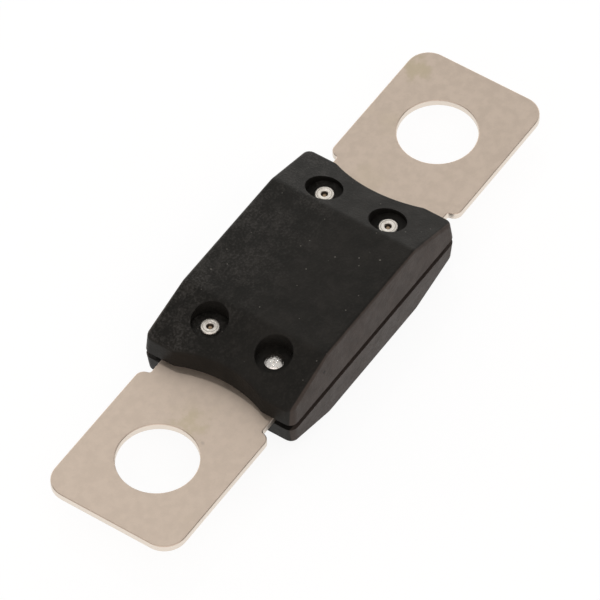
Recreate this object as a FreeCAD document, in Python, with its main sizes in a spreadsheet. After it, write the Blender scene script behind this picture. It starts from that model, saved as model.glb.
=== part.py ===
import FreeCAD, Part
import math
import os
import Sketcher
from FreeCAD import Placement, Rotation, Vector

# Bolt-down strip fuse: one stamped metal strip with a bolt hole in each end, clamped between two equal
# moulded housing halves that four rivets hold together.
# Frame: X runs along the strip, Z points up, the origin is the middle of the housing's flat underside.

# Driving dimensions: name, value (millimetres or degrees), meaning.
SIZES = [
    ("bolt_pitch", 51.0, "distance between the two bolt holes"),
    ("bolt_hole_diameter", 8.6, "bolt hole, clearance for an 8 mm stud"),
    ("strip_thickness", 0.8, "sheet thickness of the strip"),
    ("strip_length", 69.1, "overall length of the strip"),
    ("terminal_width", 16.0, "width of the two terminals"),
    ("terminal_gap", 2.05, "distance of each terminal from the end of the housing"),
    ("terminal_corner", 2.5, "radius of the outer corners of a terminal"),
    ("shoulder_corner", 1.0, "radius of the inner corners of a terminal"),
    ("neck_width", 13.8, "width of the strip where it enters the housing"),
    ("link_inset", 1.0, "distance of the link's ends inside the hollow around it"),
    ("link_width", 4.4, "width of the link at its two ends"),
    ("neck_root", 0.3, "radius where the neck meets a terminal"),
    ("link_corner", 0.9, "radius of the inside corners where the link starts"),
    ("waist_width", 2.2, "width of the link in its middle, where it melts"),
    ("waist_radius", 1.4, "radius of the two round notches that form the waist"),
    ("housing_length", 29.9, "length of the housing along its rims"),
    ("housing_width", 18.5, "width of the housing across its rims"),
    ("housing_height", 9.7, "height of the two halves together"),
    ("housing_draft", 4.5, "lean of the outer walls, degrees"),
    ("slope_length", 6.95, "length of each sloped end of the top face"),
    ("end_slope", 18.5, "fall of the top face towards each end, degrees"),
    ("hollow_chord", 10.8, "width of the hollowed stretch of each end"),
    ("hollow_depth", 1.15, "depth of the hollowed stretch of each end"),
    ("housing_corner", 0.9, "radius of the four outer corners"),
    ("hollow_corner", 1.2, "radius where an end turns into its hollow"),
    ("edge_radius", 0.4, "radius along the outer edges of the top face"),
    ("crease_radius", 1.5, "radius where the top face turns down to an end"),
    ("rivet_end_distance", 4.6, "distance of the rivets from the end of the housing"),
    ("rivet_pitch_y", 7.9, "rivet spacing across the strip"),
    ("recess_diameter", 4.0, "round recess around each rivet end"),
    ("recess_depth", 1.3, "depth of the recess at the rivet's axis"),
    ("rivet_shank_diameter", 1.6, "rivet shank"),
    ("rivet_head_diameter", 2.1, "both ends of the rivet"),
    ("rivet_head_height", 0.3, "height of the rivet ends above their seats"),
    ("rivet_rim_height", 0.14, "height of the edge of the domed end"),
    ("dimple_diameter", 0.76, "mouth of the dimple in the clinched end"),
    ("dimple_floor_diameter", 0.52, "flat floor of the dimple"),
    ("dimple_depth", 0.3, "depth of the dimple"),
    ("chamber_wall", 1.05, "wall between the hollow around the link and the recesses of the rivets"),
    ("chamber_ledge", 1.2, "ledge between the lips beside the strip and that hollow"),
    ("chamber_depth", 3.3, "depth of that hollow in each half, from the parting plane"),
    ("chamber_corner", 1.5, "radius of the upright corners of that hollow"),
    ("lip_end_inset", 1.45, "distance of the closing lips from the end of the housing"),
    ("strip_clearance", 0.1, "gap between each edge of the strip and the lips"),
    ("bore_clearance", 0.05, "gap around the rivet shank in the housing"),
    ("strip_hole_clearance", 0.15, "gap around the rivet shank in the strip"),
]

doc = FreeCAD.newDocument("strip_fuse")
sheet = doc.addObject("Spreadsheet::Sheet", "Sizes")
for row, (alias, value, meaning) in enumerate(SIZES, start=1):
    sheet.set(f"A{row}", alias)
    sheet.set(f"B{row}", str(value))
    sheet.setAlias(f"B{row}", alias)
    sheet.set(f"C{row}", meaning)
doc.recompute()

# Heights are counted from the parting plane, which is the middle of the strip's thickness. Both halves lie on
# the strip, so their rims stay as far apart as it is thick.
RIM = "Sizes.strip_thickness / 2"
HALF_HEIGHT = "Sizes.housing_height / 2"
HOUSING_END = "Sizes.housing_length / 2"
HOUSING_SIDE = "Sizes.housing_width / 2"
TERMINAL_START = f"({HOUSING_END} + Sizes.terminal_gap)"
CREASE = f"({HOUSING_END} - Sizes.slope_length)"
RIVET_X = f"({HOUSING_END} - Sizes.rivet_end_distance)"
RIVET_Y = "Sizes.rivet_pitch_y / 2"
SLOPE_DROP_AT_RIVET = "(Sizes.slope_length - Sizes.rivet_end_distance) * tan(Sizes.end_slope)"
RIVET_SEAT = f"{HALF_HEIGHT} - {SLOPE_DROP_AT_RIVET} - Sizes.recess_depth"
LIP_START = "(Sizes.neck_width / 2 + Sizes.strip_clearance)"
CHAMBER_END = f"({RIVET_X} - Sizes.recess_diameter / 2 - Sizes.chamber_wall)"
CHAMBER_SIDE = f"({LIP_START} - Sizes.chamber_ledge)"
LINK_END = f"({CHAMBER_END} - Sizes.link_inset)"
RIVET_SPOTS = [(side, row) for side in ("-", "") for row in ("-", "")]

# How far a cutting outline reaches past the material, and how exactly edges and faces are picked.
PAST = "1"
PICK_REACH = 0.05
MOSTLY_UP = 0.9
MOSTLY_LEVEL = 0.1


def number(expression):
    """The value of an expression of named sizes."""
    return float(sheet.evalExpression(expression.replace("Sizes.", "")))


def new_body(label):
    body = doc.addObject("PartDesign::Body", label)
    body.Label = label
    return body


def new_sketch(body, name, plane_role, height=None):
    """A sketch on one of the body's origin planes, raised by an expression if one is given."""
    plane = next(item for item in body.Origin.OriginFeatures if item.Role == plane_role)
    sketch = body.newObject("Sketcher::SketchObject", f"{body.Name}_{name}")
    sketch.AttachmentSupport = [(plane, "")]
    sketch.MapMode = "FlatFace"
    if height:
        sketch.setExpression("AttachmentOffset.Base.z", height)
    return sketch


def tie(sketch, index, expression):
    sketch.setExpression(f"Constraints[{index}]", expression)


def hold(sketch, curve, end, x, y):
    """Hold a point of a curve at a signed place, given as two expressions, from the sketch's origin."""
    for kind, expression in (("DistanceX", x), ("DistanceY", y)):
        value = number(expression)
        points = (-1, 1, curve, end)
        if value < 0:
            points = (curve, end, -1, 1)
            expression = f"-({expression})"
        tie(sketch, sketch.addConstraint(Sketcher.Constraint(kind, *points, abs(value))), expression)


def add_circle(sketch, x, y, radius):
    centre = Vector(number(x), number(y), 0)
    circle = sketch.addGeometry(Part.Circle(centre, Vector(0, 0, 1), number(radius)), False)
    hold(sketch, circle, 3, x, y)
    tie(sketch, sketch.addConstraint(Sketcher.Constraint("Radius", circle, number(radius))), radius)


def add_outline(sketch, corners, arcs=None):
    """A closed outline, anticlockwise, through corners that are pairs of expressions.

    arcs gives, for the edge that starts at a corner's number, its radius and True where it bends inwards.
    """
    arcs = arcs or {}
    points = [Vector(number(x), number(y), 0) for x, y in corners]
    edges = []
    for index, first in enumerate(points):
        second = points[(index + 1) % len(points)]
        if index not in arcs:
            edges.append((sketch.addGeometry(Part.LineSegment(first, second), False), 1, 2))
            continue
        radius, inwards = arcs[index]
        chord = second - first
        outward = Vector(chord.y, -chord.x, 0).normalize()
        reach = math.sqrt(number(radius) ** 2 - (chord.Length / 2) ** 2)
        centre = (first + second) / 2 + outward * (reach if inwards else -reach)
        begin, finish = (second, first) if inwards else (first, second)
        angles = [math.atan2(point.y - centre.y, point.x - centre.x) for point in (begin, finish)]
        circle = Part.Circle(centre, Vector(0, 0, 1), number(radius))
        curve = sketch.addGeometry(Part.ArcOfCircle(circle, *angles), False)
        tie(sketch, sketch.addConstraint(Sketcher.Constraint("Radius", curve, number(radius))), radius)
        edges.append((curve, 2, 1) if inwards else (curve, 1, 2))
    for index, (curve, start, end) in enumerate(edges):
        following, following_start, _ = edges[(index + 1) % len(edges)]
        sketch.addConstraint(Sketcher.Constraint("Coincident", curve, end, following, following_start))
        hold(sketch, curve, start, *corners[index])


def add_rectangle(sketch, left, right, front, rear):
    add_outline(sketch, [(left, front), (right, front), (right, rear), (left, rear)])


def add_centred_rectangle(sketch, half_length, half_width):
    add_rectangle(sketch, f"-{half_length}", half_length, f"-{half_width}", half_width)


def extrude(body, kind, sketch, length=None, upwards=True):
    """Pad or pocket a sketch upwards or downwards, through everything where no length is given."""
    feature = body.newObject(f"PartDesign::{kind}", f"{sketch.Name}_{kind.lower()}")
    feature.Profile = sketch
    if length:
        feature.setExpression("Length", length)
    else:
        feature.Type = "ThroughAll"
    feature.Reversed = (kind == "Pocket") == upwards
    doc.recompute()
    return feature


def round_off(body, name, radius, chosen):
    """Fillet every edge of the body so far for which chosen(edge) is true."""
    base = body.Tip
    names = [f"Edge{i}" for i, edge in enumerate(base.Shape.Edges, start=1) if chosen(edge)]
    fillet = body.newObject("PartDesign::Fillet", f"{body.Name}_{name}")
    fillet.Base = (base, names)
    fillet.setExpression("Radius", radius)
    doc.recompute()
    return fillet


def middle_of(face):
    first_u, last_u, first_v, last_v = face.ParameterRange
    return (first_u + last_u) / 2, (first_v + last_v) / 2


def lean_walls(body, name, angle):
    """Draft every upright wall of the body so far inwards, from its lowest face up."""
    base = body.Tip
    faces = list(enumerate(base.Shape.Faces, start=1))
    foot = min(faces, key=lambda numbered: numbered[1].CenterOfMass.z)[0]
    walls = [f"Face{i}" for i, face in faces if abs(face.normalAt(*middle_of(face)).z) < MOSTLY_LEVEL]
    draft = body.newObject("PartDesign::Draft", f"{body.Name}_{name}")
    draft.Base = (base, walls)
    draft.NeutralPlane = (base, [f"Face{foot}"])
    draft.setExpression("Angle", angle)
    doc.recompute()
    return draft


def upright(edge):
    """Whether an edge runs mostly up, as the corners of a wall do."""
    start, end = edge.firstVertex().Point, edge.lastVertex().Point
    return abs(end.z - start.z) > MOSTLY_UP * (end - start).Length > 0


def near(value, expression):
    return abs(abs(value) - number(expression)) < PICK_REACH


def make_strip():
    """The stamped strip: terminals, necks, rivet holes and the narrow link between them."""
    body = new_body("fuse_strip")
    steps = [
        ("Sizes.strip_length / 2", "Sizes.terminal_width / 2"),
        (TERMINAL_START, "Sizes.terminal_width / 2"),
        (TERMINAL_START, "Sizes.neck_width / 2"),
        (LINK_END, "Sizes.neck_width / 2"),
        (LINK_END, "Sizes.link_width / 2"),
    ]
    corners = list(steps)
    corners += [(f"-({x})", y) for x, y in reversed(steps)]
    corners += [(f"-({x})", f"-({y})") for x, y in steps]
    corners += [(x, f"-({y})") for x, y in reversed(steps)]
    outline = new_sketch(body, "outline", "XY_Plane", f"-({RIM})")
    add_outline(outline, corners)
    extrude(body, "Pad", outline, "Sizes.strip_thickness")

    def corner_of(step):
        x, y = steps[step]
        return lambda edge: upright(edge) and near(edge.firstVertex().X, x) and near(edge.firstVertex().Y, y)

    round_off(body, "terminal_corners", "Sizes.terminal_corner", corner_of(0))
    round_off(body, "shoulders", "Sizes.shoulder_corner", corner_of(1))
    round_off(body, "neck_roots", "Sizes.neck_root", corner_of(2))
    round_off(body, "pad_corners", "Sizes.shoulder_corner", corner_of(3))
    round_off(body, "link_roots", "Sizes.link_corner", corner_of(4))

    holes = new_sketch(body, "holes", "XY_Plane", RIM)
    for side, row in RIVET_SPOTS:
        add_circle(holes, f"{side}({RIVET_X})", f"{row}({RIVET_Y})",
                   "Sizes.rivet_shank_diameter / 2 + Sizes.strip_hole_clearance")
    for side in ("-", ""):
        add_circle(holes, f"{side}(Sizes.bolt_pitch / 2)", "0", "Sizes.bolt_hole_diameter / 2")
        add_circle(holes, "0", f"{side}(Sizes.waist_width / 2 + Sizes.waist_radius)", "Sizes.waist_radius")
    extrude(body, "Pocket", holes, upwards=False)
    body.setExpression("Placement.Base.z", HALF_HEIGHT)
    return body


def lowest(edge):
    return min((vertex.Point for vertex in edge.Vertexes), key=lambda point: point.z)


def outer_rim(shape):
    """The edges where an upward face of a shape meets a wall."""
    upper = [face for face in shape.Faces if face.normalAt(*middle_of(face)).z > MOSTLY_UP]
    edges = [edge for face in upper for edge in face.Edges]
    return [edge for edge in edges if sum(edge.isSame(other) for other in edges) == 1]


def make_housing_half(label, turned_over):
    """One moulded half, built above the parting plane."""
    body = new_body(label)
    end, side, hollow = HOUSING_END, HOUSING_SIDE, "Sizes.hollow_chord / 2"
    hollow_radius = f"(({hollow}) ^ 2 + Sizes.hollow_depth ^ 2) / (2 * Sizes.hollow_depth)"

    plan = new_sketch(body, "plan", "XY_Plane", RIM)
    right_end = [(end, f"-({side})"), (end, f"-({hollow})"), (end, hollow), (end, side)]
    left_end = [(f"-({x})", f"-({y})") for x, y in right_end]
    add_outline(plan, right_end + left_end, arcs={1: (hollow_radius, True), 5: (hollow_radius, True)})
    extrude(body, "Pad", plan, f"{HALF_HEIGHT} - {RIM}")
    lean_walls(body, "walls", "Sizes.housing_draft")

    def corner_at(y):
        return lambda edge: upright(edge) and near(lowest(edge).x, end) and near(lowest(edge).y, y)

    round_off(body, "corners", "Sizes.housing_corner", corner_at(side))
    round_off(body, "hollow_corners", "Sizes.hollow_corner", corner_at(hollow))

    slopes = new_sketch(body, "slopes", "XZ_Plane")
    past_end = f"({HOUSING_END} + {PAST})"
    fallen = f"{HALF_HEIGHT} - ({past_end} - {CREASE}) * tan(Sizes.end_slope)"
    above = f"{HALF_HEIGHT} + {PAST}"
    add_outline(slopes, [(CREASE, HALF_HEIGHT), (past_end, fallen), (past_end, above), (CREASE, above)])
    add_outline(slopes, [(f"-{CREASE}", HALF_HEIGHT), (f"-{CREASE}", above),
                         (f"-{past_end}", above), (f"-{past_end}", fallen)])
    cut = extrude(body, "Pocket", slopes)
    cut.SideType = "Symmetric"
    doc.recompute()

    round_off(body, "creases", "Sizes.crease_radius",
              lambda edge: near(edge.CenterOfMass.x, CREASE) and near(edge.CenterOfMass.y, "0"))
    rim = outer_rim(body.Tip.Shape)
    round_off(body, "outer_edges", "Sizes.edge_radius",
              lambda edge: any(edge.isSame(other) for other in rim))

    recesses = new_sketch(body, "recesses", "XY_Plane", RIVET_SEAT)
    bores = new_sketch(body, "bores", "XY_Plane", RIM)
    for left, front in RIVET_SPOTS:
        spot = (f"{left}({RIVET_X})", f"{front}({RIVET_Y})")
        add_circle(recesses, *spot, "Sizes.recess_diameter / 2")
        add_circle(bores, *spot, "Sizes.rivet_shank_diameter / 2 + Sizes.bore_clearance")
    extrude(body, "Pocket", recesses)
    extrude(body, "Pocket", bores)

    chamber = new_sketch(body, "chamber", "XY_Plane", RIM)
    add_centred_rectangle(chamber, CHAMBER_END, CHAMBER_SIDE)
    extrude(body, "Pocket", chamber, f"Sizes.chamber_depth - {RIM}")
    round_off(body, "chamber_corners", "Sizes.chamber_corner",
              lambda edge: upright(edge) and near(edge.firstVertex().X, CHAMBER_END)
              and near(edge.firstVertex().Y, CHAMBER_SIDE))

    # The lips beside the strip fill the inner half of the side wall and meet those of the other half.
    lips = new_sketch(body, "lips", "XY_Plane", RIM)
    lip_end, lip_side = f"({end} - Sizes.lip_end_inset)", f"({LIP_START} + {side}) / 2"
    add_rectangle(lips, f"-{lip_end}", lip_end, LIP_START, lip_side)
    add_rectangle(lips, f"-{lip_end}", lip_end, f"-{lip_side}", f"-{LIP_START}")
    extrude(body, "Pad", lips, RIM, upwards=False)

    if turned_over:
        body.Placement = Placement(Vector(), Rotation(Vector(1, 0, 0), 180))
    body.setExpression("Placement.Base.z", HALF_HEIGHT)
    return body


def make_rivet(label, left, front, turned_over):
    """One rivet: a dimpled, clinched end above the parting plane and a low domed head below it."""
    body = new_body(label)
    shank, head = "Sizes.rivet_shank_diameter / 2", "Sizes.rivet_head_diameter / 2"
    dimple, dimple_floor = "Sizes.dimple_diameter / 2", "Sizes.dimple_floor_diameter / 2"
    top = f"{RIVET_SEAT} + Sizes.rivet_head_height"
    floor = f"{top} - Sizes.dimple_depth"
    rim = f"-({RIVET_SEAT} + Sizes.rivet_rim_height)"
    rise = "(Sizes.rivet_head_height - Sizes.rivet_rim_height)"
    dome_radius = f"(({head}) ^ 2 + {rise} ^ 2) / (2 * {rise})"
    profile = new_sketch(body, "profile", "XZ_Plane")
    add_outline(profile, [
        ("0", f"-({top})"),
        (head, rim),
        (head, f"-({RIVET_SEAT})"),
        (shank, f"-({RIVET_SEAT})"),
        (shank, RIVET_SEAT),
        (head, RIVET_SEAT),
        (head, top),
        (dimple, top),
        (dimple_floor, floor),
        ("0", floor),
    ], arcs={0: (dome_radius, False)})
    turn = body.newObject("PartDesign::Revolution", f"{label}_turned")
    turn.Profile = profile
    turn.ReferenceAxis = (profile, ["V_Axis"])
    turn.Angle = 360
    if turned_over:
        body.Placement = Placement(Vector(), Rotation(Vector(1, 0, 0), 180))
    body.setExpression("Placement.Base.x", f"{left}({RIVET_X})")
    body.setExpression("Placement.Base.y", f"{front}({RIVET_Y})")
    body.setExpression("Placement.Base.z", HALF_HEIGHT)
    doc.recompute()
    return body


pieces = [make_strip(), make_housing_half("upper_housing", False), make_housing_half("lower_housing", True)]
for left, front in RIVET_SPOTS:
    name = f"rivet_{'left' if left else 'right'}_{'front' if front else 'rear'}"
    pieces.append(make_rivet(name, left, front, turned_over=name == "rivet_left_front"))
doc.recompute()

for item in doc.Objects:
    if {"Invalid", "Error"} & set(item.State):
        raise RuntimeError(f"{item.Label} failed: {item.State}")
for piece in pieces:
    if piece.Shape.isNull() or not piece.Shape.isValid() or len(piece.Shape.Solids) != 1:
        raise RuntimeError(f"{piece.Label} is not one valid solid")

os.makedirs("parts", exist_ok=True)
for piece in pieces:
    piece.Shape.exportStep(f"parts/{piece.Label}.step")
    box = piece.Shape.BoundBox
    print(f"{piece.Label}: {box.XLength:.2f} x {box.YLength:.2f} x {box.ZLength:.2f} mm, "
          f"volume {piece.Shape.Volume:.1f}")
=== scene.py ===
import math

import bmesh
import bpy
from mathutils import Matrix, Vector
from mathutils.geometry import tessellate_polygon


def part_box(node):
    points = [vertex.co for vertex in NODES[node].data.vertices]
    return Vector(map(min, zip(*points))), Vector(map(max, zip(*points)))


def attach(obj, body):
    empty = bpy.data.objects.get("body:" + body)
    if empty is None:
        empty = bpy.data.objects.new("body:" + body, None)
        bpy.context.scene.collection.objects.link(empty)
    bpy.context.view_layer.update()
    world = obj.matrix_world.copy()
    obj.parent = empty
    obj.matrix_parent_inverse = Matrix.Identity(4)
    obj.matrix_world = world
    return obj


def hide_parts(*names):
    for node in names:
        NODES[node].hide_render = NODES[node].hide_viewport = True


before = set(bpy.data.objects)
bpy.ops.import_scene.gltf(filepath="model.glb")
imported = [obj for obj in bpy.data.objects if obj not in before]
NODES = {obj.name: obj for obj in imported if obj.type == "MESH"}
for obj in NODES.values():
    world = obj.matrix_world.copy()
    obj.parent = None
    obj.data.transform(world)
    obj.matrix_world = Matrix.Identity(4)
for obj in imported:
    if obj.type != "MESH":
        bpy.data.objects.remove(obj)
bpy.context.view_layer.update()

# Bolt-down strip fuse: stamped strip, two black moulded housing halves and four small rivets.
# Everything is in metres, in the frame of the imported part: X along the strip, Z up, underside at Z = 0.
MM = 0.001
BODY = "root"
RIVETS = ("rivet_left_front", "rivet_left_rear", "rivet_right_front", "rivet_right_rear")
# The one rivet that is put in with its domed head up
DOME_UP = "rivet_left_front"

# Camera, solved from the straight edges and the holes of the strip.
CAMERA_PLACE = Vector((-324.725, -237.458, 512.518)) * MM
CAMERA_AIM = Vector((-0.890, -0.580, 5.250)) * MM
CAMERA_ROLL = math.radians(-2.421)
CAMERA_LENS = 378.78
CAMERA_SENSOR = 36.0
CAMERA_CLIP = (0.01, 20.0)

# Light: angles in degrees, lengths in metres. The levels were set by comparing renders with the photo.
# A weak lamp adds to the sky, which is bright low on the far side and dimmer overhead.
KEY_AZIMUTH, KEY_ELEVATION = 50.0, 62.0
KEY_DISTANCE = 1.2
KEY_SIZE = 0.05
KEY_WATTS = 0.45
KEY_COLOUR = (1.0, 0.99, 0.98)
BACKDROP_SIDE = (0.81, 0.59, 0.0)
BACKDROP_LIGHT = 1.85
OVERHEAD_LIGHT = 0.50
ROOM_LIGHT = 0.035
HORIZON_LIGHT = 0.9
ROOM_COLOUR = (1.0, 0.985, 0.965, 1)
FILL_LIGHT = 0.9
FILL_COLOUR = (1.0, 0.91, 0.87, 1)

# Floor: a hair below the underside that rests on it, so that the two faces never share a plane.
FLOOR_HALF = 3.0
FLOOR_DROP = 0.01 * MM
FLOOR_COLOUR = (0.80, 0.80, 0.80, 1)
SEEN_FLOOR_COLOUR = (0.14, 0.14, 0.14, 1)
SEEN_FLOOR_GLOW = 0.90

# Stamped strip: the punch rounds the upper edge, the lower edge stays crisper.
UPPER_ARRIS = 0.13 * MM
LOWER_ARRIS = 0.05 * MM
ARRIS_STEPS = 5
LEVEL_MARGIN = 0.0001 * MM
LEVEL_NORMAL = 0.99
WELD_DISTANCE = 1e-7
LEAST_CORNER = 0.5
STRIP_DARK = (0.632, 0.528, 0.440, 1)
STRIP_PALE = (0.685, 0.574, 0.480, 1)
STAIN_COLOUR = (0.570, 0.490, 0.330, 1)
SPOT_COLOUR = (0.42, 0.36, 0.31, 1)
SHEARED_WALL_REFLECTION_COLOUR = (0.820, 0.735, 0.645, 1)

# Marks on the upper face of the strip: x, y and radius in millimetres, and the height of that face.
STRIP_TOP = 5.25
STRIP_STAINS = [(-19.9, -0.2, 2.2), (31.5, 6.7, 2.2)]
STRIP_SPOTS = [(-21.4, -2.7, 0.28)]

# Moulded plastic: scuffs grow towards the rear, and the side walls are paler and browner than the top,
# partly dust and partly a painted reflection of the warm floor.
SCUFF_FROM, SCUFF_TO = -2.0 * MM, 9.0 * MM
SIDE_FROM, SIDE_TO = 8.70 * MM, 8.85 * MM
PLASTIC_DARK = (0.0062, 0.0062, 0.0054, 1)
PLASTIC_PALE = (0.0120, 0.0110, 0.0096, 1)
WORN_COLOUR = (0.022, 0.020, 0.018, 1)
GRAIN_COLOUR = (0.020, 0.019, 0.017, 1)
SCUFF_COLOUR = (0.056, 0.054, 0.051, 1)
RUBBED_COLOUR = (0.040, 0.038, 0.035, 1)
SIDE_REFLECTION_AND_DUST_COLOUR = (0.060, 0.047, 0.041, 1)
DUST_COLOUR = (0.20, 0.19, 0.17, 1)
PIT_SHADE_COLOUR = (0.001, 0.001, 0.001, 1)
PLASTIC_TINT = (1.0, 0.95, 0.88, 1)

# Marks on the upper half of the housing, in millimetres: x, y and radius of specks of dust on its level top,
# the height of that top, and x, y, z and radius of a small pit in its front wall, which is painted black as
# its shade.
SPECKS = [(2.84, -2.50, 0.10), (4.07, -4.63, 0.09), (5.03, -6.57, 0.11), (-0.07, -0.90, 0.08),
          (6.86, 6.80, 0.10), (-2.32, 7.34, 0.10), (-3.93, 6.22, 0.08), (-5.36, 7.22, 0.11)]
HOUSING_TOP = 9.7
PIT = (-8.84, -9.05, 7.81, 0.22)

# Rivets: profile points are (radius, height above the seat) in millimetres. UNEVEN is a share of the radius,
# and each rivet is turned by TURN_EACH radians more than the one before.
RIVET_SEGMENTS = 96
CLINCHED_END = [
    (0.990, 0.000), (1.036, 0.030), (1.050, 0.090), (1.046, 0.160), (1.020, 0.222), (0.968, 0.268),
    (0.900, 0.292), (0.820, 0.299), (0.730, 0.293), (0.640, 0.284), (0.560, 0.288), (0.480, 0.297),
    (0.425, 0.296), (0.388, 0.270), (0.362, 0.215), (0.330, 0.120), (0.300, 0.045), (0.255, 0.010),
    (0.180, 0.000), (0.090, 0.004),
]
CLINCHED_MIDDLE = 0.008
HEAD_EDGE = [(1.010, 0.000), (1.042, 0.006), (1.050, 0.016), (1.044, 0.026), (1.030, 0.034)]
HEAD_CROWN = 0.300
HEAD_STEPS = 12
SHANK_RADIUS = 0.8 * MM
UNEVEN = 0.008
TURN_EACH = 0.9
RING_RADIANS_PER_METRE = 42000.0
GROOVE_RADIUS = 0.77 * MM
GRIME_COLOUR = (0.60, 0.54, 0.46, 1)
# Painted shade on the clinched end: a grey ring for the shade of a groove, and near black in the dimple.
GROOVE_SHADE_COLOUR = (0.40, 0.37, 0.33, 1)
DIMPLE_SHADE_COLOUR = (0.045, 0.032, 0.024, 1)
BOTTOM_COLOUR = (0.42, 0.31, 0.21, 1)


def make_camera():
    data = bpy.data.cameras.new("camera")
    data.lens = CAMERA_LENS
    data.sensor_width = CAMERA_SENSOR
    data.clip_start, data.clip_end = CAMERA_CLIP
    camera = bpy.data.objects.new("camera", data)
    bpy.context.scene.collection.objects.link(camera)
    facing = (CAMERA_AIM - CAMERA_PLACE).to_track_quat("-Z", "Y").to_matrix().to_4x4()
    camera.matrix_world = Matrix.Translation(CAMERA_PLACE) @ facing @ Matrix.Rotation(CAMERA_ROLL, 4, "Z")
    bpy.context.scene.camera = camera


class Shading:
    """Short names for building a node tree."""

    def __init__(self, tree):
        self.tree = tree
        tree.nodes.clear()

    def set_input(self, socket, value):
        """Link a socket to value, or set it where value is a plain number, colour or vector."""
        if isinstance(value, bpy.types.NodeSocket):
            self.tree.links.new(value, socket)
        else:
            socket.default_value = value

    def node(self, kind, inputs=None, **settings):
        made = self.tree.nodes.new(kind)
        for name, value in settings.items():
            setattr(made, name, value)
        for name, value in (inputs or {}).items():
            self.set_input(made.inputs[name], value)
        return made

    def place(self):
        """The point of the surface, in the piece's own frame."""
        return self.node("ShaderNodeTexCoord").outputs["Object"]

    def facing_up(self):
        """The Z of the surface's normal: 1 on a level top, 0 on an upright wall."""
        return self.part(self.node("ShaderNodeNewGeometry").outputs["Normal"], "Z")

    def noise(self, scale, detail=3.0, roughness=0.55, at=None):
        inputs = {"Vector": at or self.place(), "Scale": scale, "Detail": detail, "Roughness": roughness}
        return self.node("ShaderNodeTexNoise", inputs).outputs["Fac"]

    def stretched(self, factors, at=None):
        inputs = {"Vector": at or self.place(), "Scale": factors}
        return self.node("ShaderNodeMapping", inputs).outputs["Vector"]

    def ramp(self, value, low, high, to_low=0.0, to_high=1.0):
        """Goes smoothly from to_low to to_high as value goes from low to high."""
        inputs = {"Value": value, "From Min": low, "From Max": high, "To Min": to_low, "To Max": to_high}
        made = self.node("ShaderNodeMapRange", inputs, interpolation_type="SMOOTHSTEP")
        return made.outputs["Result"]

    def maths(self, operation, *values):
        made = self.node("ShaderNodeMath", dict(enumerate(values)), operation=operation)
        return made.outputs["Value"]

    def vector_maths(self, operation, *vectors):
        made = self.node("ShaderNodeVectorMath", dict(enumerate(vectors)), operation=operation)
        return made.outputs["Value"]

    def blend(self, share, first, second):
        """Colour that goes from first to second as share goes from 0 to 1."""
        made = self.node("ShaderNodeMix", {"Factor": share}, data_type="RGBA")
        # The Mix node has sockets of the same names for each kind of data: these are the ones for colours
        self.set_input(made.inputs[6], first)
        self.set_input(made.inputs[7], second)
        return made.outputs[2]

    def part(self, vector, axis):
        return self.node("ShaderNodeSeparateXYZ", {"Vector": vector}).outputs[axis]

    def bump(self, height, distance, strength, over=None):
        inputs = {"Height": height, "Distance": distance, "Strength": strength}
        if over:
            inputs["Normal"] = over
        return self.node("ShaderNodeBump", inputs).outputs["Normal"]

    def blot(self, x, y, z, radius, ragged):
        """1 at a point of the surface, fading to 0 at about radius from it, ragged, in millimetres."""
        reach = radius * MM
        away = self.vector_maths("DISTANCE", self.place(), (x * MM, y * MM, z * MM))
        away = self.maths("ADD", away, self.ramp(ragged, 0.3, 0.7, -0.4 * reach, 0.4 * reach))
        return self.ramp(away, 0.1 * reach, reach, 1.0, 0.0)

    def principled(self, inputs):
        self.surface(self.node("ShaderNodeBsdfPrincipled", inputs).outputs["BSDF"])

    def surface(self, shader):
        self.node("ShaderNodeOutputMaterial", {"Surface": shader})


def new_material(name):
    material = bpy.data.materials.new(name)
    material.use_nodes = True
    return material, Shading(material.node_tree)


def strip_material():
    """Satin tinned sheet: faint rolling marks, mottling, a few yellowish stains, and upright sheared edges
    painted paler as a reflection of the floor.
    """
    material, shading = new_material("strip_metal")
    mottle = shading.noise(900.0, 5.0, 0.62)
    broad = shading.noise(140.0)
    rolled = shading.noise(1.0, 4.0, 0.65, shading.stretched((250.0, 5200.0, 900.0)))
    fine = shading.noise(9000.0, 2.0)
    colour = shading.blend(shading.ramp(mottle, 0.35, 0.65), STRIP_DARK, STRIP_PALE)
    stain = shading.ramp(broad, 0.58, 0.74, 0.0, 0.35)
    for x, y, radius in STRIP_STAINS:
        stain = shading.maths("MAXIMUM", stain, shading.blot(x, y, STRIP_TOP, radius, mottle))
    colour = shading.blend(shading.maths("MULTIPLY", stain, 0.55), colour, STAIN_COLOUR)
    for x, y, radius in STRIP_SPOTS:
        spot = shading.blot(x, y, STRIP_TOP, radius, fine)
        colour = shading.blend(shading.maths("MULTIPLY", spot, 0.5), colour, SPOT_COLOUR)
    # Painted reflection: the upright sheared walls are made paler to stand in for the bright floor they
    # reflect.
    sheared_wall_reflection = shading.ramp(shading.maths("ABSOLUTE", shading.facing_up()), 0.7, 0.2)
    colour = shading.blend(sheared_wall_reflection, colour, SHEARED_WALL_REFLECTION_COLOUR)
    rough = shading.ramp(mottle, 0.3, 0.7, 0.40, 0.43)
    rough = shading.maths("ADD", rough, shading.ramp(rolled, 0.3, 0.7, -0.01, 0.01))
    normal = shading.bump(rolled, 0.004 * MM, 0.10)
    normal = shading.bump(fine, 0.003 * MM, 0.4, over=normal)
    normal = shading.bump(mottle, 0.012 * MM, 0.06, over=normal)
    shading.principled({"Base Color": colour, "Metallic": 1.0, "Roughness": rough, "Normal": normal})
    return material


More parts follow.
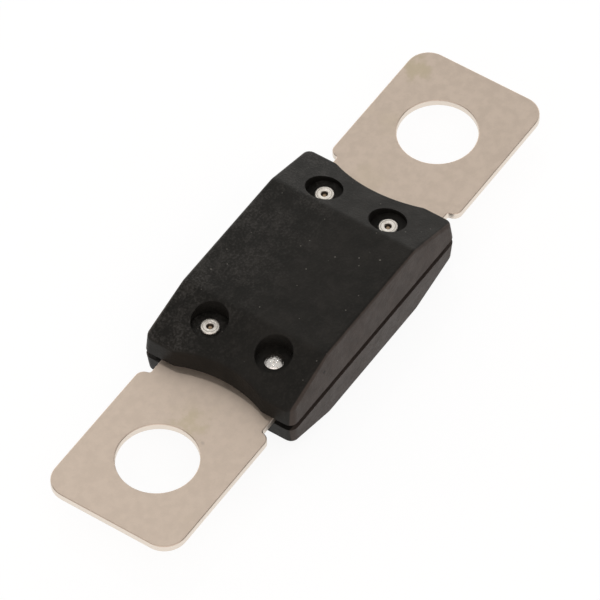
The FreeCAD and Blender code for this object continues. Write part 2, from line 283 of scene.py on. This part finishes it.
def housing_material():
    """Matte black moulding: fine grain, paler scuffs, a little dust, side walls painted browner as a floor
    reflection and dust, and a small pit painted black as its shade.
    """
    material, shading = new_material("housing_plastic")
    place = shading.place()
    across = shading.part(place, "Y")
    patches = shading.noise(230.0, 4.0, 0.6)
    cloud = shading.noise(900.0, 5.0, 0.65)
    grain = shading.noise(3600.0, 4.0, 0.6)
    fine = shading.noise(15000.0, 2.0)
    upward = shading.ramp(shading.facing_up(), 0.5, 0.9)
    scuffed = shading.ramp(across, SCUFF_FROM, SCUFF_TO)
    scuffed = shading.maths("MULTIPLY", scuffed, shading.ramp(patches, 0.30, 0.62))
    scuffed = shading.maths("MULTIPLY", scuffed, upward)
    worn = shading.maths("MULTIPLY", shading.ramp(cloud, 0.46, 0.66), upward)
    colour = shading.blend(shading.ramp(patches, 0.35, 0.7), PLASTIC_DARK, PLASTIC_PALE)
    colour = shading.blend(shading.maths("MULTIPLY", worn, 0.28), colour, WORN_COLOUR)
    colour = shading.blend(shading.ramp(grain, 0.45, 0.75, 0.0, 0.6), colour, GRAIN_COLOUR)
    scratched = shading.maths("MULTIPLY", scuffed, shading.ramp(grain, 0.42, 0.74))
    colour = shading.blend(scratched, colour, SCUFF_COLOUR)
    rubbed = shading.maths("MULTIPLY", scuffed, shading.ramp(cloud, 0.42, 0.70, 0.0, 0.5))
    colour = shading.blend(rubbed, colour, RUBBED_COLOUR)
    # Painted reflection: the side walls are made paler and browner to stand in for the warm floor they
    # reflect, partly dust.
    side_reflection_and_dust = shading.ramp(shading.maths("ABSOLUTE", across), SIDE_FROM, SIDE_TO)
    side_reflection_and_dust = shading.maths("MULTIPLY", side_reflection_and_dust, shading.ramp(cloud, 0.3, 0.7, 0.7, 1.0))
    colour = shading.blend(side_reflection_and_dust, colour, SIDE_REFLECTION_AND_DUST_COLOUR)
    flat_place = shading.stretched((1.0, 1.0, 0.0), place)
    cells = shading.node("ShaderNodeTexVoronoi", {"Vector": flat_place, "Scale": 900.0, "Randomness": 1.0})
    chosen = shading.ramp(shading.part(cells.outputs["Color"], "X"), 0.72, 0.76)
    speck = shading.ramp(cells.outputs["Distance"], 0.04, 0.09, 1.0, 0.0)
    dust = shading.maths("MULTIPLY", shading.maths("MULTIPLY", speck, chosen), upward)
    dust = shading.maths("MULTIPLY", dust, 0.45)
    for x, y, radius in SPECKS:
        dust = shading.maths("MAXIMUM", dust, shading.blot(x, y, HOUSING_TOP, radius, fine))
    colour = shading.blend(dust, colour, DUST_COLOUR)
    # Painted shade: the pit is coloured near black, darker than the plastic, for the shade inside it.
    pit = shading.blot(*PIT, fine)
    colour = shading.blend(pit, colour, PIT_SHADE_COLOUR)
    rough = shading.ramp(patches, 0.3, 0.7, 0.58, 0.50)
    rough = shading.maths("ADD", rough, shading.ramp(grain, 0.3, 0.7, -0.05, 0.05))
    normal = shading.bump(patches, 0.05 * MM, 0.5)
    normal = shading.bump(cloud, 0.04 * MM, 0.9, over=normal)
    normal = shading.bump(grain, 0.022 * MM, 0.8, over=normal)
    normal = shading.bump(fine, 0.006 * MM, 0.6, over=normal)
    normal = shading.bump(shading.maths("SUBTRACT", 1.0, pit), 0.15 * MM, 1.0, over=normal)
    shading.principled({"Base Color": colour, "Roughness": rough, "Specular IOR Level": 0.20,
                        "Specular Tint": PLASTIC_TINT, "Normal": normal})
    return material


def rivet_material(name, base, roughness, dent, dent_scale, dimpled):
    """Bright rivet metal with turned rings and small hammer marks; where dimpled is 1, painted shade darkens
    the dimple and a groove ring.
    """
    material, shading = new_material(name)
    radius = shading.vector_maths("LENGTH", shading.stretched((1.0, 1.0, 0.0)))
    rings = shading.maths("SINE", shading.maths("MULTIPLY", radius, RING_RADIANS_PER_METRE))
    marks = shading.noise(dent_scale, 4.0, 0.6)
    grime = shading.ramp(shading.noise(2600.0), 0.52, 0.72, 0.0, 0.7)
    # Painted shade: near black in the dimple's hollow, and a grey ring for the shade of a groove.
    dimple_shade = shading.ramp(radius, 0.30 * MM, 0.42 * MM, dimpled, 0.0)
    bottom = shading.ramp(radius, 0.10 * MM, 0.26 * MM, dimpled, 0.0)
    beside = shading.maths("ABSOLUTE", shading.maths("SUBTRACT", radius, GROOVE_RADIUS))
    groove_shade = shading.ramp(beside, 0.02 * MM, 0.07 * MM, 0.8 * dimpled, 0.0)
    colour = shading.blend(grime, base, GRIME_COLOUR)
    colour = shading.blend(groove_shade, colour, GROOVE_SHADE_COLOUR)
    colour = shading.blend(dimple_shade, colour, DIMPLE_SHADE_COLOUR)
    colour = shading.blend(bottom, colour, BOTTOM_COLOUR)
    normal = shading.bump(rings, 0.002 * MM, 0.3)
    normal = shading.bump(marks, dent, 0.8, over=normal)
    rough = shading.ramp(marks, 0.3, 0.7, roughness * 0.8, roughness * 1.25)
    shading.principled({"Base Color": colour, "Metallic": 1.0, "Roughness": rough, "Normal": normal})
    return material


def finish_piece(name, mesh, material, node, place=(0, 0, 0)):
    """Put a built mesh in the scene in place of the node that it stands for."""
    piece = bpy.data.objects.new(name, mesh)
    bpy.context.scene.collection.objects.link(piece)
    piece.location = place
    mesh.materials.append(material)
    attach(piece, BODY)
    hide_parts(node)


def rim_loops(node):
    """The closed outlines of a node's level top face, as lists of points, material on their left."""
    source = bmesh.new()
    source.from_mesh(node.data)
    bmesh.ops.remove_doubles(source, verts=source.verts, dist=WELD_DISTANCE)
    source.normal_update()
    following = {}
    for face in source.faces:
        if face.normal.z < LEVEL_NORMAL:
            continue
        for loop in face.loops:
            others = [other for other in loop.edge.link_faces if other is not face]
            if all(other.normal.z < LEVEL_NORMAL for other in others):
                following[loop.vert.index] = loop.link_loop_next.vert.index
    points = [vertex.co.copy() for vertex in source.verts]
    source.free()
    loops = []
    while following:
        current = next(iter(following))
        loop = []
        while current in following:
            loop.append(points[current])
            current = following.pop(current)
        loops.append(loop)
    return loops


def inset_loop(loop, inset, height):
    """A loop moved into the material by inset, at another height."""
    moved = []
    for index, point in enumerate(loop):
        before = (point - loop[index - 1]).xy.normalized()
        after = (loop[(index + 1) % len(loop)] - point).xy.normalized()
        along = (before + after).normalized()
        left = Vector((-along.y, along.x))
        reach = inset / max(left.dot(Vector((-before.y, before.x))), LEAST_CORNER)
        moved.append(Vector((point.x + left.x * reach, point.y + left.y * reach, height)))
    return moved


def strip_edge(bottom, top):
    """The edge of the strip from its upper to its lower face, as pairs of inset and height."""
    quarter = [math.pi / 2 * step / ARRIS_STEPS for step in range(ARRIS_STEPS + 1)]
    upper = [(UPPER_ARRIS * (1 - math.sin(turn)), top - UPPER_ARRIS * (1 - math.cos(turn)))
             for turn in quarter]
    lower = [(LOWER_ARRIS * (1 - math.cos(turn)), bottom + LOWER_ARRIS * (1 - math.sin(turn)))
             for turn in quarter]
    return upper + lower


def smooth_mesh(built, name):
    """The built shape as a smooth-shaded mesh."""
    for face in built.faces:
        face.smooth = True
    mesh = bpy.data.meshes.new(name)
    built.to_mesh(mesh)
    built.free()
    return mesh


def make_strip(material):
    """The strip with the rounded edges that stamping leaves."""
    low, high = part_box("fuse_strip")
    built = bmesh.new()
    upper_rings, lower_rings = [], []
    for loop in rim_loops(NODES["fuse_strip"]):
        rings = []
        for inset, height in strip_edge(low.z, high.z):
            rings.append([built.verts.new(point) for point in inset_loop(loop, inset, height)])
        for upper, lower in zip(rings, rings[1:]):
            for index in range(len(loop)):
                after = (index + 1) % len(loop)
                built.faces.new((upper[index], lower[index], lower[after], upper[after]))
        upper_rings.append(rings[0])
        lower_rings.append(rings[-1])
    for rings, upward in ((upper_rings, True), (lower_rings, False)):
        vertices = [vertex for ring in rings for vertex in ring]
        for corners in tessellate_polygon([[vertex.co for vertex in ring] for ring in rings]):
            face = built.faces.new([vertices[corner] for corner in corners])
            face.normal_update()
            if (face.normal.z > 0) != upward:
                face.normal_flip()
    mesh = smooth_mesh(built, "strip_blade")
    normals = [vertex.normal.copy() for vertex in mesh.vertices]
    for vertex in mesh.vertices:
        if vertex.co.z > high.z - LEVEL_MARGIN:
            normals[vertex.index] = Vector((0, 0, 1))
        elif vertex.co.z < low.z + LEVEL_MARGIN:
            normals[vertex.index] = Vector((0, 0, -1))
    mesh.normals_split_custom_set_from_vertices(normals)
    finish_piece("strip_blade", mesh, material, "fuse_strip")


def wobble(turn, number):
    """Small unevenness round a rivet, different for each rivet, between -1 and 1."""
    return (0.5 * math.sin(3 * turn + 1.7 * number) + 0.3 * math.sin(7 * turn + 2.9 * number)
            + 0.2 * math.sin(13 * turn + 0.6 * number))


def head_profile():
    """The plain domed head, from its seat to its middle."""
    start_radius, start_height = HEAD_EDGE[-1]
    profile = list(HEAD_EDGE)
    for step in range(1, HEAD_STEPS):
        share = 1 - step / HEAD_STEPS
        profile.append((start_radius * share, HEAD_CROWN - (HEAD_CROWN - start_height) * share ** 2))
    return profile


def rivet_ring(built, number, radius, height, uneven):
    """A ring of vertices about the rivet's axis."""
    ring = []
    for index in range(RIVET_SEGMENTS):
        turn = 2 * math.pi * index / RIVET_SEGMENTS
        out = radius * (1 + uneven * wobble(turn, number))
        ring.append(built.verts.new((out * math.cos(turn), out * math.sin(turn), height)))
    return ring


def close_end(built, ring, height):
    """A fan of faces from the last ring of an end to the rivet's axis."""
    centre = built.verts.new((0, 0, height))
    for index in range(RIVET_SEGMENTS):
        corners = (ring[index], ring[(index + 1) % RIVET_SEGMENTS], centre)
        built.faces.new(corners if height > 0 else corners[::-1])


def make_rivet(name, number, materials):
    """A rivet with its real ends: one clinched with a dimple, one a plain dome."""
    low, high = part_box(name)
    seat = (high.z - low.z) / 2 - max(height for _, height in CLINCHED_END) * MM
    top, top_middle = CLINCHED_END, CLINCHED_MIDDLE
    bottom, bottom_middle = head_profile(), HEAD_CROWN
    material = materials["clinched"]
    if name == DOME_UP:
        top, top_middle, bottom, bottom_middle = bottom, bottom_middle, top, top_middle
        material = materials["domed"]
    outline = [(radius * MM, -(seat + height * MM), UNEVEN) for radius, height in reversed(bottom)]
    outline += [(SHANK_RADIUS, -seat, 0.0), (SHANK_RADIUS, seat, 0.0)]
    outline += [(radius * MM, seat + height * MM, UNEVEN) for radius, height in top]
    built = bmesh.new()
    rings = [rivet_ring(built, number, *point) for point in outline]
    for first, second in zip(rings, rings[1:]):
        for index in range(RIVET_SEGMENTS):
            after = (index + 1) % RIVET_SEGMENTS
            built.faces.new((first[index], first[after], second[after], second[index]))
    close_end(built, rings[0], -(seat + bottom_middle * MM))
    close_end(built, rings[-1], seat + top_middle * MM)
    mesh = smooth_mesh(built, name + "_metal")
    mesh.transform(Matrix.Rotation(TURN_EACH * number, 4, "Z"))
    finish_piece(name + "_metal", mesh, material, name, (low + high) / 2)


def make_floor():
    """A white floor. The camera and mirrors see most of it as glow, and the rest keeps the fuse's shadow."""
    half, height = FLOOR_HALF, -FLOOR_DROP
    mesh = bpy.data.meshes.new("floor")
    corners = [(-half, -half, height), (half, -half, height), (half, half, height), (-half, half, height)]
    mesh.from_pydata(corners, [], [(0, 1, 2, 3)])
    floor = bpy.data.objects.new("floor", mesh)
    bpy.context.scene.collection.objects.link(floor)
    material, shading = new_material("floor")
    path = shading.node("ShaderNodeLightPath").outputs
    seen = shading.maths("MAXIMUM", path["Is Camera Ray"], path["Is Glossy Ray"])
    seen = shading.maths("MAXIMUM", seen, path["Is Transmission Ray"])
    matte = shading.node("ShaderNodeBsdfDiffuse", {"Color": FLOOR_COLOUR}).outputs["BSDF"]
    shade = shading.node("ShaderNodeBsdfDiffuse", {"Color": SEEN_FLOOR_COLOUR}).outputs["BSDF"]
    glow = shading.node("ShaderNodeEmission", {"Color": (1, 1, 1, 1), "Strength": SEEN_FLOOR_GLOW})
    bright = shading.node("ShaderNodeAddShader", {0: shade, 1: glow.outputs["Emission"]}).outputs["Shader"]
    mixed = shading.node("ShaderNodeMixShader", {"Fac": seen, 1: matte, 2: bright})
    shading.surface(mixed.outputs["Shader"])
    mesh.materials.append(material)


def make_world():
    """The room: a sky bright low on the far side and dimmer overhead, a warm fill on the near side, a pale
    horizon, and dim elsewhere."""
    world = bpy.data.worlds.new("room")
    bpy.context.scene.world = world
    world.use_nodes = True
    shading = Shading(world.node_tree)
    direction = shading.node("ShaderNodeTexCoord").outputs["Generated"]
    rise = shading.part(direction, "Z")
    towards = shading.vector_maths("DOT_PRODUCT", direction, BACKDROP_SIDE)
    far_side = shading.ramp(towards, 0.05, 0.60)
    overhead = shading.ramp(rise, 0.60, 0.85)
    brightness = shading.ramp(rise, 0.15, 0.72, BACKDROP_LIGHT, OVERHEAD_LIGHT)
    sky = shading.maths("MULTIPLY", shading.maths("MAXIMUM", far_side, overhead), brightness)
    horizon = shading.ramp(rise, 0.05, 0.12, HORIZON_LIGHT, 0.0)
    plain = shading.maths("MAXIMUM", shading.maths("ADD", sky, ROOM_LIGHT), horizon)
    near_side = shading.ramp(towards, -0.10, -0.55, 0.0, FILL_LIGHT)
    room = shading.node("ShaderNodeBackground", {"Color": ROOM_COLOUR, "Strength": plain})
    fill = shading.node("ShaderNodeBackground", {"Color": FILL_COLOUR, "Strength": near_side})
    both = {0: room.outputs["Background"], 1: fill.outputs["Background"]}
    added = shading.node("ShaderNodeAddShader", both)
    shading.node("ShaderNodeOutputWorld", {"Surface": added.outputs["Shader"]})


def make_key_lamp():
    """A small square lamp that faces the fuse, at a place given by its angles from +X and from the floor."""
    data = bpy.data.lights.new("key", "AREA")
    data.shape = "SQUARE"
    data.size = KEY_SIZE
    data.energy = KEY_WATTS
    data.color = KEY_COLOUR
    lamp = bpy.data.objects.new("key", data)
    bpy.context.scene.collection.objects.link(lamp)
    turn, climb = math.radians(KEY_AZIMUTH), math.radians(KEY_ELEVATION)
    away = Vector((math.cos(turn) * math.cos(climb), math.sin(turn) * math.cos(climb), math.sin(climb)))
    lamp.location = away * KEY_DISTANCE
    lamp.rotation_euler = (-away).to_track_quat("-Z", "Y").to_euler()


make_camera()
plastic = housing_material()
for node in ("upper_housing", "lower_housing"):
    NODES[node].data.materials.clear()
    NODES[node].data.materials.append(plastic)
make_strip(strip_material())
rivet_metals = {
    "clinched": rivet_material("rivet_clinched", base=(0.93, 0.88, 0.81, 1), roughness=0.40,
                               dent=0.02 * MM, dent_scale=3200.0, dimpled=1.0),
    "domed": rivet_material("rivet_domed", base=(0.97, 0.94, 0.90, 1), roughness=0.14,
                            dent=0.10 * MM, dent_scale=2600.0, dimpled=0.0),
}
for number, name in enumerate(RIVETS):
    make_rivet(name, number, rivet_metals)
make_floor()
make_world()
make_key_lamp()
bpy.context.scene.view_settings.view_transform = "Standard"
